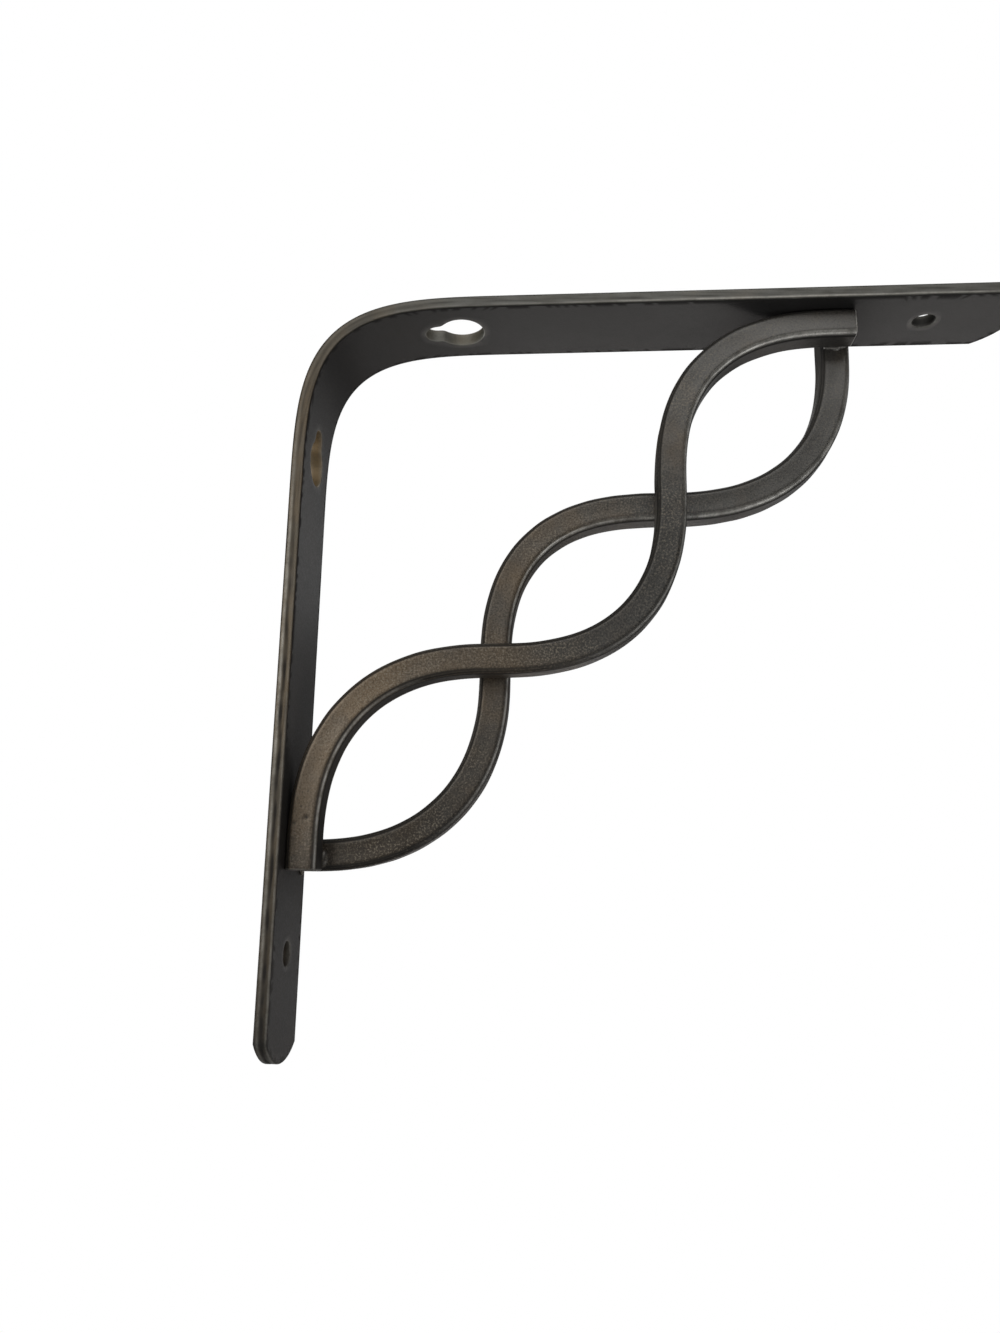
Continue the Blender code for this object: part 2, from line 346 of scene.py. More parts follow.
rods = {
    "side": 8 * mm,
    "edgeRadius": 1.7 * mm,
    "edgeSteps": 14,
    "bandWidth": 0.2,             # of a rubbed ridge with painted highlight, or of a dark line of painted shade, in radians round an edge
    "sideFade": 0.4,              # the same for the painted shade of the lower side, on the lower front edge
    # rubbed ridge with painted highlight and two dark lines of painted shade on each edge, as (strength,
    # angle round the edge): the upper back edge, the lower back one, the lower front one and the upper front
    # one
    "edgeBands": (((0.5, 0.79), (0.5, 0.15), (0.5, 1.42)), ((0.8, 0.79), (0.3, 0.15), (0.5, 1.42)),
                  ((1.0, 0.72), (0.9, 0.1), (1.0, 1.14)), ((0.0, 0.0), (1.0, 0.48), (1.0, 0.95))),
    # at these shares of each rod's length, from the wall: how rubbed and lit by painted highlight the lower
    # front edge is, how dark the painted shade of the line above it (below 0 it is rubbed and lit too) and of
    # the side below it is, and how light the coat is
    "frontRun": (
        (0, 0.01, 0.06, 0.16, 0.22, 0.27, 0.40, 0.47, 0.52, 0.62, 0.73, 0.84, 0.95, 1),
        (0.4, 0.4, 0.55, 0.6, 0.3, 0.0, 0.0, 0.2, 0.5, 0.5, 0.7, 0.85, 0.75, 0.75),
        (0.8, 0.8, 0.8, 1.0, 1.0, 1.0, 0.7, 0.6, 0.5, -0.1, -0.12, -0.25, -0.4, -0.4),
        (0.9, 0.9, 0.9, 0.9, 1.0, 1.0, 0.2, 0.1, 0.1, 0.1, 0.1, 0.1, 0.3, 0.3),
        (0.65, 0.8, 0.9, 1.5, 1.3, 1.15, 0.9, 0.9, 0.9, 0.8, 1.1, 1.15, 1.25, 1.0)),
    "backRun": (
        (0, 0.12, 0.2, 0.25, 0.4, 0.5, 0.6, 0.8, 0.93, 1),
        (0.0, 0.0, 0.3, 0.6, 0.9, 0.9, 0.8, 0.7, 0.75, 0.6),
        (1.0, 1.0, 0.7, 0.4, 0.3, 0.1, -0.2, -0.25, -0.2, 0.3),
        (0.5, 0.5, 0.2, 0.0, 0.1, 0.3, 0.2, 0.0, 0.1, 0.8),
        (0.5, 0.4, 0.7, 0.85, 1.25, 1.2, 1.0, 1.0, 1.05, 1.1)),
    # small pits in the front face: X, Z from the shelf face, and size
    "nicks": ((8.5 * mm, -141.8 * mm, 0.5 * mm), (5.5 * mm, -143.3 * mm, 0.35 * mm)),
    "nickDepth": 0.25 * mm,
    "nickDark": 0.9,
    "faceSteps": 10,
    "spacing": 0.5 * mm,          # between sections along a rod
    "hollow": 0.05 * mm,          # how far the middle of each face sinks between its edges
    "hammer": 0.035 * mm,         # unevenness of the surface
    "hammerSize": 9 * mm,
    "frontSeed": 11,
    "backSeed": 23,
    "endRadius": 0.5 * mm,        # rounding around a sawn end
    "endWear": (0.15, 0.6),       # how rubbed it is, at the wall and at the shelf
    "frontX": 7.5 * mm,           # centre line of the front rod along the wall arm
    "frontStart": shelfZ - 148.0 * mm,
    "frontFoot": 6.8 * mm,        # straight runs beyond the first and last turns
    "frontTip": 3.8 * mm,
    "frontTurns": ((47.0 * mm, 2.4), (46.5 * mm, 2.55), (47.0 * mm, 2.55)),
    "backX": 3.5 * mm,            # where the back rod meets the strap
    "backZ": shelfZ - 150.8 * mm,
    "backFoot": 3.0 * mm,
    "backTip": 6.0 * mm,
    "backTurns": ((47.8 * mm, 2.4), (46.2 * mm, 2.7), (47.3 * mm, 2.5)),
}


def waveLine(start, startsUpright, turns, foot, tip):
    # Quarter turns joined end to end, each turning the other way, with a straight run at both ends.
    heading = np.array((0.0, 1.0) if startsUpright else (1.0, 0.0))
    line = [np.stack([start, start + heading * foot])]
    for reach, power in turns:
        turn = quarterTurn(reach, power)
        turn = turn if heading[1] else turn[:, ::-1]
        line.append(line[-1][-1] + turn[1:])
        heading = heading[::-1]
    line.append((line[-1][-1] + heading * tip)[None])
    return evenPoints(np.concatenate(line), rods["spacing"])


def squareSection():
    # Rounded square as (across, deep) points in a ring: quarter circles at the corners, joined by faces that
    # sink a little like a shallow sine arch. Ridges (wear with painted highlight) and dark lines (painted
    # shade) are bell curves over the angle on each corner; the lower side's painted shade covers its face and
    # fades round the lower front edge.
    half = rods["side"] / 2
    radius = rods["edgeRadius"]
    quarter = np.arange(4)[:, None] * np.pi / 2
    bend = np.linspace(0, np.pi / 2, rods["edgeSteps"] + 1)
    middle = np.sqrt(2) * (half - radius)
    corner = np.stack([middle * np.cos(quarter + np.pi / 4) + radius * np.cos(quarter + bend),
                       middle * np.sin(quarter + np.pi / 4) + radius * np.sin(quarter + bend)], axis=-1)
    share = np.linspace(0, 1, rods["faceSteps"] + 1)[1:-1]
    start = corner[:, -1:]
    end = np.roll(corner[:, :1], -1, axis=0)
    sink = rods["hollow"] * np.sin(np.pi * share)
    outward = np.stack([np.cos(quarter + np.pi / 2), np.sin(quarter + np.pi / 2)], axis=-1)
    face = start + (end - start) * share[:, None] - outward * sink[:, None]
    ring = np.concatenate([corner, face], axis=1).reshape(-1, 2)
    strength, place = np.moveaxis(np.array(rods["edgeBands"]), -1, 0)[..., None]
    bands = strength * np.exp(-((bend - place) / rods["bandWidth"]) ** 2)
    bands = np.concatenate([bands, np.zeros((4, 3, len(share)))], axis=2)
    lowerFront = np.where(np.arange(4) == 2, 1.0, 0.0)[:, None]
    side = 0 * bands[:, 0]
    side[1, len(bend):] = 1
    side[2, :len(bend)] = np.exp(-(bend / rods["sideFade"]) ** 2)
    steady = [bands[:, 0] * (1 - lowerFront), bands[:, 1] + bands[:, 2] * (1 - lowerFront)]
    changing = [bands[:, 0] * lowerFront, bands[:, 2] * lowerFront, side]
    return ring, [one.ravel() for one in steady + changing]


def rodPatch(path, middleY, seed, along, nicks):
    # The section carried along the line. At each end it shrinks over a quarter circle, then closes to a
    # point. An uneven field moves its skin in and out, and each nick is a round bell curve on the front.
    ring, (ridge, line, lowRidge, lowLine, side) = squareSection()
    half = rods["side"] / 2
    travel = headings(path)
    roll = np.linspace(0, np.pi / 2, 6)
    radius = rods["endRadius"]
    run = np.concatenate([[0], np.cumsum(np.linalg.norm(np.diff(path, axis=0), axis=1))])
    keep = (run > radius) & (run < run[-1] - radius)
    inset = radius * (1 - np.cos(roll))
    lead = radius * (1 - np.sin(roll))
    spreads = np.concatenate([[0.0, 0.5], 1 - inset[::-1] / half, np.ones(keep.sum()),
                              1 - inset / half, [0.5, 0.0]])
    stations = np.concatenate([[0, 0], lead[::-1], run[keep], run[-1] - lead, [run[-1], run[-1]]])
    centre, forward = [np.column_stack([np.interp(stations, run, values) for values in one.T])
                       for one in (path, travel)]
    forward /= np.linalg.norm(forward, axis=1)[:, None]
    sideways = np.column_stack([-forward[:, 1], forward[:, 0]])
    flat = centre[:, None] + sideways[:, None] * (ring[:, 0] * spreads[:, None])[..., None]
    deep = middleY + ring[:, 1] * spreads[:, None]
    grid = np.stack([flat[..., 0], deep, flat[..., 1]], axis=-1)
    outward = grid - np.stack([centre[:, 0], np.full(len(centre), middleY), centre[:, 1]], axis=-1)[:, None]
    outward /= np.linalg.norm(outward, axis=-1)[..., None].clip(1e-9)
    lift = rods["hammer"] * wobble(grid, rods["hammerSize"], seed) * spreads[:, None]
    endWear = np.interp(stations / run[-1], (0, 1), rods["endWear"])
    endWear = np.where((spreads < 0.999) & (spreads > 0.6), endWear, 0)
    whole = spreads[:, None] ** 4
    # rubbed: wear and painted highlight on the lower front edge; lined and dark: painted shade on the line
    # above it and on the side below it
    rubbed, lined, dark, tone = [np.interp(stations / run[-1], along[0], one)[:, None] for one in along[1:]]
    wearAndHighlight = np.maximum((ridge + lowRidge * rubbed - lowLine * lined.clip(-1, 0)) * whole, endWear[:, None])
    lined = lined.clip(0)
    shade = (line + lowLine * lined + side * dark + lowRidge * lined * (1 - rubbed).clip(0)) * whole
    for x, z, size in nicks:
        nick = np.exp(-((grid[..., 0] - x) ** 2 + (grid[..., 2] - shelfZ - z) ** 2) / size ** 2)
        nick = nick * (ring[:, 1] < 0)
        lift = lift - rods["nickDepth"] * nick
        shade = shade + rods["nickDark"] * nick
    return patch(grid + outward * lift[..., None], True, wearAndHighlight, shade.clip(0, 1), 0.0, tone)


frontLine = waveLine(np.array((rods["frontX"], rods["frontStart"] - rods["frontFoot"])), True,
                     rods["frontTurns"], rods["frontFoot"], rods["frontTip"])
backLine = waveLine(np.array((rods["backX"], rods["backZ"])), False,
                    rods["backTurns"], rods["backFoot"], rods["backTip"])


# Weld beads, on the rods that they hold.

welds = {
    "rings": 14,
    "spokes": 22,
    "lumps": 0.16,                # unevenness, as a share of a bead's size, and the size of its waves
    "lumpSize": 1.6,
    "frontFinish": (0.05, 0.45),  # how rubbed the beads are, and how light
    "backFinish": (0.2, 0.95),
    # each: centre in X, Y, Z and half sizes, mm from the shelf face for Z
    "front": (((11.3, 0.4, -151.6), (1.5, 1.3, 2.4)), ((5.0, -0.2, -148.6), (2.0, 1.0, 1.4))),
    "back": (((147.5, 0.2, -10.6), (2.3, 1.1, 1.3)), ((147.8, 8.0, -3.9), (4.4, 1.4, 1.2)),
             ((3.9, 8.0, -150.8), (1.2, 1.4, 4.4)), ((149.6, 0.1, -10.4), (1.2, 0.8, 1.0))),
}


def beadPatches(beads, finish, seed):
    # Each bead is a ball stretched to its half sizes, pushed in and out by an uneven field.
    up = np.linspace(0, np.pi, welds["rings"])[:, None]
    turn = np.linspace(0, 2 * np.pi, welds["spokes"], endpoint=False)
    ball = np.stack([np.sin(up) * np.cos(turn), np.sin(up) * np.sin(turn), np.cos(up) + 0 * turn], axis=-1)
    patches = []
    for number, (centre, halfSizes) in enumerate(beads):
        lumpy = ball * (1 + welds["lumps"] * wobble(ball, welds["lumpSize"], seed + number))[..., None]
        place = np.array(centre) * mm + (0, 0, shelfZ)
        patches.append(patch(place + lumpy * np.array(halfSizes) * mm, True, wearAndHighlight=finish[0], tone=finish[1]))
    return patches


frontWave = rodPatch(frontLine, -rods["side"] / 2, rods["frontSeed"], rods["frontRun"], rods["nicks"])
backWave = rodPatch(backLine, rods["side"] / 2, rods["backSeed"], rods["backRun"], ())
frontBeads = beadPatches(welds["front"], welds["frontFinish"], rods["frontSeed"])
backBeads = beadPatches(welds["back"], welds["backFinish"], rods["backSeed"])
frontRod = pieceFromPatches("frontWaveRod", [frontWave] + frontBeads, rodCoat)
backRod = pieceFromPatches("backWaveRod", [backWave] + backBeads, rodCoat)
for rod, node in ((frontRod, "front_wave_rod"), (backRod, "back_wave_rod")):
    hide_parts(node)
print("rods made")


# Strap.

strap = {
    "width": 25 * mm,
    "thickness": 3.5 * mm,
    "bendReach": 60 * mm,
    "bendPower": 3.9,
    "wallLength": 201.0 * mm,
    "shelfLength": 197.2 * mm,
    "wallScrew": 175.1 * mm,
    "shelfScrew": 172.3 * mm,
    "wallTipShift": 1.5 * mm,
    "shelfTipShift": -2.9 * mm,
    "tipRadius": 19 * mm,
    "keyholeDrop": 43.5 * mm,
    "keyholeHead": 12.8 * mm,
    "keyholeSlot": 7 * mm,
    "keyholeSlotEnd": 33 * mm,
    "screwHole": 6.2 * mm,
    "edgeRadius": 0.6 * mm,       # the rolled-over side of the sheared edge
    "burrRadius": 0.4 * mm,       # its sharper side, on the inner face
    "shoulder": 0.6 * mm,         # blending of the head into the slot
    "innerRim": 0.3 * mm,         # rolled rims of the holes, on the inner face and on the outer one
    "outerRim": 0.08 * mm,
    "rimReach": 1.0 * mm,         # how far the rubbed band reaches round a hole, and its wear there, at
    "rimWear": (0.15, 0.4, 1.0),  # the two ends of the rim and in the rim's middle
    "wallTighter": 0.25 * mm,     # no light shows through the wall arm's keyhole
    # the walls of the screw holes get painted shade; the walls of the keyholes get painted shade over a coat
    # made four times as light, a painted light
    "screwInside": (0.85, 1.0),   # how dull and dark a hole's wall is, and how light its coat
    "keyholeInside": (0.5, 4.0),
    "shearDepth": 0.07 * mm,      # torn groove along the sheared edge: how deep, where from the outer face,
    "grooveDepth": 1.85 * mm,     # how far and how fast it wanders and breaks up, how wide and how dark
    "grooveWander": 0.18 * mm,
    "grooveWanderSize": 23 * mm,
    "grooveBreakSize": 9 * mm,
    "grooveWidth": 0.45 * mm,
    "grooveDark": 0.8,
    "grooveFade": (90 * mm, 150 * mm),      # where it fades out, from the wall arm's tip
    "faintGroove": 0.2,
    "streaks": 0.35,              # dark drawn streaks along the edge: how dark, how long and how wide
    "streakLength": 24 * mm,
    "streakWidth": 0.9 * mm,
    # at these places from the wall arm's tip: how far the ridge is from the inner face, how rubbed and lit by
    # painted highlight it is, how light the edge is, and how rubbed and lit its outer side is
    "ridgeRun": (0 * mm, 30 * mm, 110 * mm, 170 * mm, 240 * mm, 300 * mm),
    "ridge": (0.35 * mm, 0.4 * mm, 0.5 * mm, 0.5 * mm, 0.55 * mm, 0.6 * mm),
    "ridgeWearAndHighlight": (0.8, 0.7, 0.15, 0.0, 0.25, 1.0),
    "edgeTone": (0.3, 0.6, 0.95, 0.85, 1.05, 1.15),
    "outerRun": (0.3, 1.1, 1.2, 0.25, 0.0, 0.0),
    "ridgeWidth": 0.3 * mm,
    "outerPlace": 1.0 * mm,       # middle of the outer side's wear and painted highlight, from the outer face, and its width
    "outerWidth": 0.4 * mm,
    "rolledEdgeShade": 0.7,              # painted shade on the rolled-over side: how dark, and where and how wide
    "rollPlace": 0.12 * mm,
    "rollWidth": 0.25 * mm,
    "contactShade": 0.75,                 # painted shade where the rods meet the arms: how dark, how long, and where
    "contactShadeReach": 14 * mm,
    "wallContactShade": -138 * mm,        # in Z from the shelf face
    "shelfContactShade": 138 * mm,        # in X
    "bendShade": 0.4,              # painted shade inside the bend, which also makes it duller: how much, where in X and Z, and how far
    "bendPlace": (20 * mm, -15 * mm),
    "bendSpread": 35 * mm,
    "cornerWidth": 0.2 * mm,      # painted shade along the corner on the inner face: how wide, how far it wanders
    "cornerWander": 0.06 * mm,
    "cornerWanderSize": 11 * mm,
    "tipNotch": 0.8 * mm,         # dark nick where the long edges meet the tips' arcs: how wide and how deep
    "tipNotchDepth": 0.25 * mm,
    "screwRoom": (9 * mm, 9 * mm),          # mesh patch round a hole: how far back and ahead of its centre
    "keyholeRoom": (17 * mm, 13 * mm),
    "acrossSteps": 20,
    "spacing": 1.2 * mm,
}


def strapLine():
    # Outer face of the strap in X and Z: up the wall, round the quarter bend, out along the shelf.
    bend = quarterTurn(strap["bendReach"], strap["bendPower"], 4000) + (0, shelfZ - strap["bendReach"])
    line = np.concatenate([[(0, shelfZ - strap["wallLength"])], bend, [(strap["shelfLength"], shelfZ)]])
    run = np.concatenate([[0], np.cumsum(np.linalg.norm(np.diff(line, axis=0), axis=1))])
    even = np.linspace(0, run[-1], 6000)
    line = np.column_stack([np.interp(even, run, line[:, 0]), np.interp(even, run, line[:, 1])])
    return even, line, headings(line)


stations, outerLine, outerHeading = strapLine()
flatHalf = strap["width"] / 2 - strap["edgeRadius"]
rows = np.linspace(-flatHalf, flatHalf, strap["acrossSteps"] + 1)


def wallStation(along):
    # Station on the strap that is this far below the shelf face.
    return np.interp(shelfZ - along, outerLine[:, 1], stations)


def shelfStation(along):
    # Station on the strap that is this far out from the wall.
    rising = outerLine[:, 0] + np.linspace(0, 1e-9, len(outerLine))
    return np.interp(along, rising, stations)


def bendStrap(flat):
    # Blank to bracket: each (station, across, depth below the outer face) goes to its station's point on the
    # bent line, moved in by the depth; past the ends it runs on straight.
    station = flat[..., 0]
    x = np.interp(station, stations, outerLine[:, 0])
    z = np.interp(station, stations, outerLine[:, 1])
    headX = np.interp(station, stations, outerHeading[:, 0])
    headZ = np.interp(station, stations, outerHeading[:, 1])
    over = np.maximum(station - stations[-1], 0) + np.minimum(station - stations[0], 0)
    size = np.hypot(headX, headZ)
    inX, inZ = headZ / size, -headX / size
    x, z = x + over * headX + flat[..., 2] * inX, z + over * headZ + flat[..., 2] * inZ
    return np.stack([x, flat[..., 1], z], axis=-1)


def keyholeRadius(angle, grow, towardsCorner):
    # Distance from the head's centre to the rim of a keyhole grown by an amount, in each direction: the
    # farther of the round head and the slot with its round end, blended where they are nearly equal.
    head = strap["keyholeHead"] / 2 + grow
    half = strap["keyholeSlot"] / 2 + grow
    endCentre = strap["keyholeDrop"] - strap["keyholeSlotEnd"] - strap["keyholeSlot"] / 2
    cosine = np.cos(angle) * towardsCorner
    sine = np.abs(np.sin(angle)).clip(1e-9)
    sides = half / sine
    roundEnd = endCentre * cosine + np.sqrt((half ** 2 - (endCentre * sine) ** 2).clip(0))
    slot = np.where(sides * cosine < endCentre, sides, roundEnd)
    blend = strap["shoulder"]
    rounded = blend * np.logaddexp(head / blend, slot / blend)
    return np.where(cosine > 0, head + (rounded - head) * cosine.clip(0, 1) ** 0.5, head)


def roundRadius(angle, grow, towardsCorner):
    # The same for a round screw hole: its radius in every direction.
    return np.full_like(angle, strap["screwHole"] / 2 + grow)


def holePatch(centre, low, high, radiusOf, towardsCorner, tighter, inside):
    # Rings from the rectangle round a hole on the outer face, in over the rim, through the hole and back out
    # on the inner face. A ring's point lies on the ray from the hole's centre to its point of the rectangle.
    count = int(np.ceil((high - low) / strap["spacing"]))
    sideRun = np.linspace(low, high, count + 1)
    rectangle = np.concatenate([
        np.column_stack([sideRun[:-1], np.full(count, -flatHalf)]),
        np.column_stack([np.full(len(rows) - 1, high), rows[:-1]]),
        np.column_stack([sideRun[:0:-1], np.full(count, flatHalf)]),
        np.column_stack([np.full(len(rows) - 1, low), rows[:0:-1]]),
    ])
    spoke = rectangle - (centre, 0)
    angle = np.arctan2(spoke[:, 1], spoke[:, 0])
    reach = np.linalg.norm(spoke, axis=1)
    share = np.linspace(0, 1, 9) ** 0.7
    roll = np.linspace(0, np.pi / 2, 6)

    def hole(grow):
        return radiusOf(angle, grow - tighter, towardsCorner)

    faint, least, most = strap["rimWear"]
    halves = []
    for rim in (strap["outerRim"], strap["innerRim"]):
        plain = [(reach + (hole(rim) - reach) * part, 0.0, 0.0) for part in share[:-1]]
        rubbed = [(hole(rim + strap["rimReach"]), 0.0, faint)]
        turned = [(hole(rim * (1 - np.sin(bend))), rim * (1 - np.cos(bend)),
                   least + (most - least) * np.sin(2 * bend)) for bend in roll]
        rings = [ring for ring in plain if (ring[0] > rubbed[0][0]).all()] + rubbed + turned
        halves.append(rings + [(hole(0), strap["thickness"] / 3, 0.0)])
    rings = halves[0] + [(ring, strap["thickness"] - depth, wearAndHighlight) for ring, depth, wearAndHighlight in halves[1][::-1]]
    distance = np.stack([ring for ring, depth, wearAndHighlight in rings])
    depths, wears = np.array([(depth, wearAndHighlight) for ring, depth, wearAndHighlight in rings]).T[..., None]
    flat = np.empty((*distance.shape, 3))
    flat[..., :2] = (centre, 0) + spoke / reach[:, None] * distance[..., None]
    flat[..., 2] = depths
    around = patch(flat, True, wears)
    around["shear"] = np.where((depths > 0) & (depths < strap["thickness"]), 1.0, 0.0)
    # Painted shade on the holes' walls, and on the keyholes' walls a much lighter coat as painted light.
    around["shade"] = inside[0] * around["shear"]
    around["tone"] = 1 + (inside[1] - 1) * around["shear"]
    return around, sideRun


def tipArc(length, shift, rows):
    # Distance out to the flat part of the rounded tip at each place across, from the circle it is cut to.
    radius = strap["tipRadius"] - strap["edgeRadius"]
    return length - strap["tipRadius"] + np.sqrt(radius ** 2 - (rows - shift) ** 2)


def facePatches(columns):
    # One patch on the outer face and the same one on the inner face.
    for depth in (0.0, strap["thickness"]):
        yield patch(np.concatenate([columns, np.full((*columns.shape[:2], 1), depth)], axis=-1))


holes = []
for screw, stationOf, towards, tighter in ((strap["wallScrew"], wallStation, 1, strap["wallTighter"]),
                                           (strap["shelfScrew"], shelfStation, -1, 0)):
    for centre, (back, ahead), radiusOf, less, inside in (
            (screw, strap["screwRoom"], roundRadius, 0, strap["screwInside"]),
            (strap["keyholeDrop"], strap["keyholeRoom"], keyholeRadius, tighter, strap["keyholeInside"])):
        low, high = sorted((stationOf(centre - back), stationOf(centre + ahead)))
        holes.append((stationOf(centre), low, high, radiusOf, towards, less, inside))
holes.sort(key=lambda hole: hole[0])

patches = []
sideStations = []
edgeFrom = None
for centre, low, high, radiusOf, towards, tighter, inside in holes:
    if edgeFrom is not None:
        columns = np.linspace(edgeFrom, low, int(np.ceil((low - edgeFrom) / strap["spacing"])) + 1)
        patches += facePatches(np.stack(np.meshgrid(columns, rows, indexing="ij"), axis=-1))
        sideStations.append(columns[:-1])
    around, sideRun = holePatch(centre, low, high, radiusOf, towards, tighter, inside)
    patches.append(around)
    sideStations.append(sideRun[:-1])
    edgeFrom = high
sideStations = np.concatenate(sideStations + [[edgeFrom]])

wallArc = strap["wallLength"] - tipArc(strap["wallLength"], strap["wallTipShift"], rows)
shelfArc = stations[-1] - strap["shelfLength"] + tipArc(strap["shelfLength"], strap["shelfTipShift"], rows)
share = np.linspace(0, 1, 9)[:, None]
for inner, arc in ((sideStations[0], wallArc), (edgeFrom, shelfArc)):
    columns = inner + (arc - inner) * share
    patches += facePatches(np.stack([columns, np.broadcast_to(rows, columns.shape)], axis=-1))


def edgeBand(outline):
    # Section of the sheared edge carried round the flat outline: a quarter circle beside the outer face, a
    # straight band with a torn groove that wanders, and a smaller quarter circle beside the inner face.
    after = np.roll(outline, -1, axis=0) - outline
    after /= np.linalg.norm(after, axis=1)[:, None]
    normalAfter = np.column_stack([after[:, 1], -after[:, 0]])
    normalBefore = np.roll(normalAfter, 1, axis=0)
    outward = (normalBefore + normalAfter) / (1 + (normalBefore * normalAfter).sum(axis=1))[:, None]
    reach, burr, thick = strap["edgeRadius"], strap["burrRadius"], strap["thickness"]
    roll = np.linspace(0, np.pi / 2, 9)
    level = np.linspace(reach, thick - burr, 24)[1:-1]
    depth = np.concatenate([reach * (1 - np.cos(roll)), level,
                            thick - burr * (1 - np.cos(roll[::-1])), [thick]])
    out = np.concatenate([reach * np.sin(roll), np.full(len(level), reach),
                          reach - burr * (1 - np.sin(roll[::-1])), [0]])
    run = np.concatenate([[0], np.cumsum(np.linalg.norm(np.diff(outline, axis=0), axis=1))])[:, None]
    wander = strap["grooveDepth"] + strap["grooveWander"] * wobble(run, strap["grooveWanderSize"], 5)[:, None]
    upArm = np.interp(outline[:, :1], strap["grooveFade"], (1, strap["faintGroove"]))
    streak = (1 + 0.5 * wobble(run, strap["grooveBreakSize"], 6)[:, None]) * upArm
    groove = np.exp(-((depth - wander) / strap["grooveWidth"]) ** 2) * streak
    spot = np.stack(np.broadcast_arrays(run / strap["streakLength"], depth / strap["streakWidth"]), axis=-1)
    streaks = strap["streaks"] * wobble(spot, 1, 8).clip(0, 1)
    corners = [(arc[at], rows[at]) for arc in (wallArc, shelfArc) for at in (0, -1)]
    apart = np.linalg.norm(outline[:, None] - np.array(corners), axis=2).min(axis=1)[:, None]
    notch = np.exp(-(apart / strap["tipNotch"]) ** 2)
    flat = np.empty((len(outline), len(depth), 3))
    push = out - (strap["shearDepth"] * groove + strap["tipNotchDepth"] * notch) * (out > reach * 0.999)
    flat[..., :2] = outline[:, None] + outward[:, None] * push[..., None]
    flat[..., 2] = depth
    # Painted shade: a dark line along the corner between the edge and the inner face.
    cornerPlace = strap["cornerWander"] * wobble(run, strap["cornerWanderSize"], 9)[:, None]
    line = np.exp(-((depth - thick + cornerPlace) / strap["cornerWidth"]) ** 2)
    # Ridge beside the inner face and band beside the outer face: rubbed wear and painted highlight.
    ridgePlace = np.interp(outline[:, :1], strap["ridgeRun"], strap["ridge"])
    ridgeWearAndHighlight = np.interp(outline[:, :1], strap["ridgeRun"], strap["ridgeWearAndHighlight"])
    ridge = ridgeWearAndHighlight * np.exp(-((depth - thick + ridgePlace) / strap["ridgeWidth"]) ** 2)
    outer = np.interp(outline[:, :1], strap["ridgeRun"], strap["outerRun"])
    outer = outer * np.exp(-((depth - strap["outerPlace"]) / strap["outerWidth"]) ** 2)
    # Painted shade on the rolled-over side of the edge.
    rolledShade = strap["rolledEdgeShade"] * np.exp(-((depth - strap["rollPlace"]) / strap["rollWidth"]) ** 2)
    rolledShade = rolledShade * (depth > 0.01 * mm)
    band = patch(np.swapaxes(flat, 0, 1), True)
    dark = strap["grooveDark"]
    band["wearAndHighlight"] = np.swapaxes((ridge + outer) * (1 - dark * groove.clip(0, 1)), 0, 1)
    band["shade"] = np.swapaxes((line + dark * groove + streaks + notch + rolledShade).clip(0, 1), 0, 1)
    band["shear"] = np.where(depth < thick, 1.0, 0.0)[:, None]
    band["tone"] = np.interp(outline[:, 0], strap["ridgeRun"], strap["edgeTone"])[None, :]
    return band


def alongSide(run, across):
    # Points at these stations, all at one place across.
    return np.column_stack([run, np.full(len(run), across)])


# once round the blank: out along the front side, over the shelf arm's tip, back, over the wall arm's tip
edgeStart = sideStations[0]
between = share[1:-1, 0]
outline = np.concatenate([
    alongSide(sideStations, -flatHalf),
    alongSide(edgeFrom + (shelfArc[0] - edgeFrom) * between, -flatHalf),
    np.column_stack([shelfArc, rows]),
    alongSide(edgeFrom + (shelfArc[-1] - edgeFrom) * between[::-1], flatHalf),
    alongSide(sideStations[::-1], flatHalf),
    alongSide(edgeStart + (wallArc[-1] - edgeStart) * between, flatHalf),
    np.column_stack([wallArc, rows])[::-1],
    alongSide(edgeStart + (wallArc[0] - edgeStart) * between[::-1], -flatHalf),
])
patches.append(edgeBand(outline))
for one in patches:
    onInner = np.abs(one["points"][..., 2] - strap["thickness"]) < 0.01 * mm
    one["points"] = bendStrap(one["points"])
    # Painted shade on the inner faces where the rods meet the arms, and inside the bend, where it also dulls
    # the coat.
    fromWall = (one["points"][..., 2] - shelfZ - strap["wallContactShade"]) / strap["contactShadeReach"]
    fromShelf = (one["points"][..., 0] - strap["shelfContactShade"]) / strap["contactShadeReach"]
    fromBend = one["points"][..., ::2] - (strap["bendPlace"] + np.array((0, shelfZ)))
    bendShadeMask = strap["bendShade"] * np.exp(-(fromBend ** 2).sum(axis=-1) / strap["bendSpread"] ** 2)
    contactShade = strap["contactShade"] * np.maximum(np.exp(-fromWall ** 2), np.exp(-fromShelf ** 2))
    one["shade"] = np.maximum(one["shade"], np.maximum(contactShade, bendShadeMask) * onInner)
strapPiece = pieceFromPatches("bracketStrap", patches, strapCoat)
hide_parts("bracket_strap")
print("strap made")


# Floor, light and camera.

studio = {
    "floorZ": -0.42,
    "floorRadius": 30.0,
    "floorRings": 12,
    "floorSpokes": 96,
    "floorColor": (0.35, 0.35, 0.35),
    "white": 1.0,                 # what the camera sees of the backdrop
    "ambient": 0.02,              # what the bracket gets from it
    "lightsFace": (0.08, 0.0, 0.02),        # the bracket's middle
    "cameraPlace": (0.0728355, -0.2476254, shelfZ - 0.1582969),
    "cameraTurn": (-0.2249770, 0.0061683, -0.0667682),      # rotation vector of the fitted view
    "focalPixels": 968.34,
    "framePixels": 1333,
}
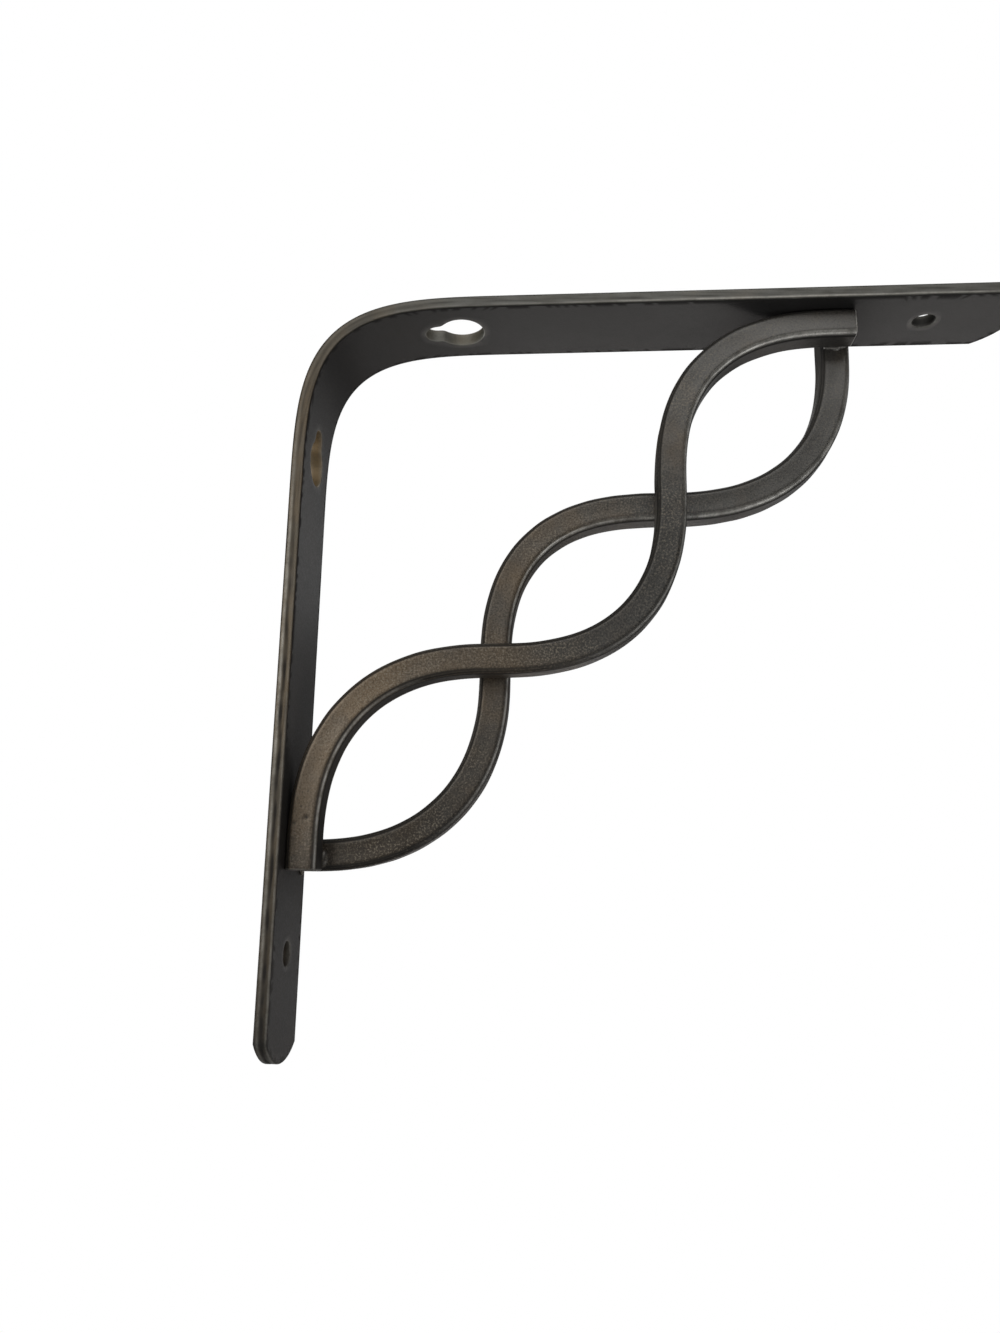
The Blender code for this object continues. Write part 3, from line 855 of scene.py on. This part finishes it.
# each soft light: where it stands, its width and height, its power and colour
softLights = {
    "upperFront": ((0.15, -0.95, 0.85), (1.1, 0.6), 4.8, (1.0, 0.99, 0.97)),
    "leftFront": ((-0.55, -0.95, 0.28), (0.5, 0.7), 4.4, (1.0, 0.96, 0.89)),
    "front": ((0.1, -1.2, 0.1), (0.6, 0.6), 0.6, (1.0, 1.0, 1.0)),
    "rightStrip": ((0.95, -0.28, -0.1), (0.2, 0.6), 0.6, (1.0, 1.0, 1.0)),
    "lowRightFront": ((0.5, -0.25, -0.34), (0.35, 0.3), 0.6, (1.0, 1.0, 1.0)),
    "belowFront": ((0.05, -0.25, -0.39), (0.5, 0.25), 0.25, (1.0, 1.0, 1.0)),
    "lowBack": ((0.28, 0.8, -0.37), (1.0, 0.09), 0.72, (1.0, 0.95, 0.92)),
    "underShelf": ((-0.03, 0.6, -0.28), (0.16, 0.16), 0.05, (1.0, 0.95, 0.93)),
    "besideWall": ((0.4, 0.95, 0.5), (0.6, 0.4), 0.3, (1.0, 1.0, 1.0)),
    "besideLow": ((0.4, 0.95, 0.18), (0.5, 0.3), 0.055, (1.0, 1.0, 1.0)),
    "belowWall": ((0.25, 0.97, -0.13), (0.16, 0.2), 0.04, (1.0, 1.0, 1.0)),
    "insideBend": ((0.53, 0.85, -0.05), (0.16, 0.5), 0.09, (1.0, 0.98, 0.98)),
    # these two show the back and the top, which the photo's view doesn't have
    "behindLeft": ((-1.0, 0.55, -0.05), (0.9, 0.3), 8.0, (1.0, 1.0, 1.0)),
    "aboveBack": ((0.1, 0.6, 1.1), (0.9, 0.5), 3.0, (1.0, 1.0, 1.0)),
}


def cameraOnly(tree, surface, glow):
    # A shader that the camera sees as an even white, and that lights the bracket as surface does.
    rays = addNode(tree, "LightPath")
    white = addNode(tree, glow, {}, {"Color": (1, 1, 1, 1), "Strength": studio["white"]})
    return addNode(tree, "MixShader", {}, {},
                   {0: rays.outputs["Is Camera Ray"], 1: surface, 2: white.outputs[0]})


def makeFloor():
    # Flat disc: rings of points whose distance from the middle grows with the square of their number.
    rings, spokes = studio["floorRings"], studio["floorSpokes"]
    turn = np.linspace(0, 2 * np.pi, spokes, endpoint=False)
    reach = studio["floorRadius"] * np.linspace(0.01, 1, rings)[:, None] ** 2
    level = np.full((rings, spokes), studio["floorZ"])
    grid = np.stack([reach * np.cos(turn), reach * np.sin(turn), level], axis=-1)
    mesh = bpy.data.meshes.new("floor")
    mesh.from_pydata(grid.reshape(-1, 3), [], gridFaces(rings, spokes, True))
    material = bpy.data.materials.new("paleFloor")
    material.use_nodes = True
    tree = material.node_tree
    shader = tree.nodes["Principled BSDF"]
    shader.inputs["Base Color"].default_value = (*studio["floorColor"], 1)
    shader.inputs["Roughness"].default_value = 0.9
    seen = cameraOnly(tree, shader.outputs[0], "Emission")
    tree.links.new(seen.outputs[0], tree.nodes["Material Output"].inputs["Surface"])
    mesh.materials.append(material)
    floor = bpy.data.objects.new("floor", mesh)
    bpy.context.scene.collection.objects.link(floor)
    floor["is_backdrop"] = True


def makeSky():
    world = bpy.data.worlds.new("studioSky")
    world.use_nodes = True
    tree = world.node_tree
    tree.nodes["Background"].inputs["Color"].default_value = (1, 1, 1, 1)
    tree.nodes["Background"].inputs["Strength"].default_value = studio["ambient"]
    seen = cameraOnly(tree, tree.nodes["Background"].outputs[0], "Background")
    tree.links.new(seen.outputs[0], tree.nodes["World Output"].inputs["Surface"])
    bpy.context.scene.world = world


def makeLight(name, place, size, power, color):
    light = bpy.data.lights.new(name, "AREA")
    light.shape = "RECTANGLE"
    light.size, light.size_y = size
    light.energy = power
    light.color = color
    lamp = bpy.data.objects.new(name, light)
    lamp.location = place
    towards = Vector(studio["lightsFace"]) - Vector(place)
    lamp.rotation_euler = towards.to_track_quat("-Z", "Y").to_euler()
    lamp.visible_camera = False
    bpy.context.scene.collection.objects.link(lamp)


def makeCamera():
    turn = Vector(studio["cameraTurn"])
    right, forward, up = Quaternion(turn.normalized(), turn.length).to_matrix()
    camera = bpy.data.cameras.new("camera")
    camera.sensor_width = 36
    camera.lens = studio["focalPixels"] / studio["framePixels"] * camera.sensor_width
    camera.clip_start, camera.clip_end = 0.01, 100
    eye = bpy.data.objects.new("camera", camera)
    axes = Matrix((right, up, -forward)).transposed()
    eye.matrix_world = Matrix.Translation(studio["cameraPlace"]) @ axes.to_4x4()
    bpy.context.scene.collection.objects.link(eye)
    bpy.context.scene.camera = eye


makeFloor()
makeSky()
for name, (place, size, power, color) in softLights.items():
    makeLight(name, place, size, power, color)
makeCamera()
bpy.context.scene.view_settings.view_transform = "Standard"
print("studio made")

low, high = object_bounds()
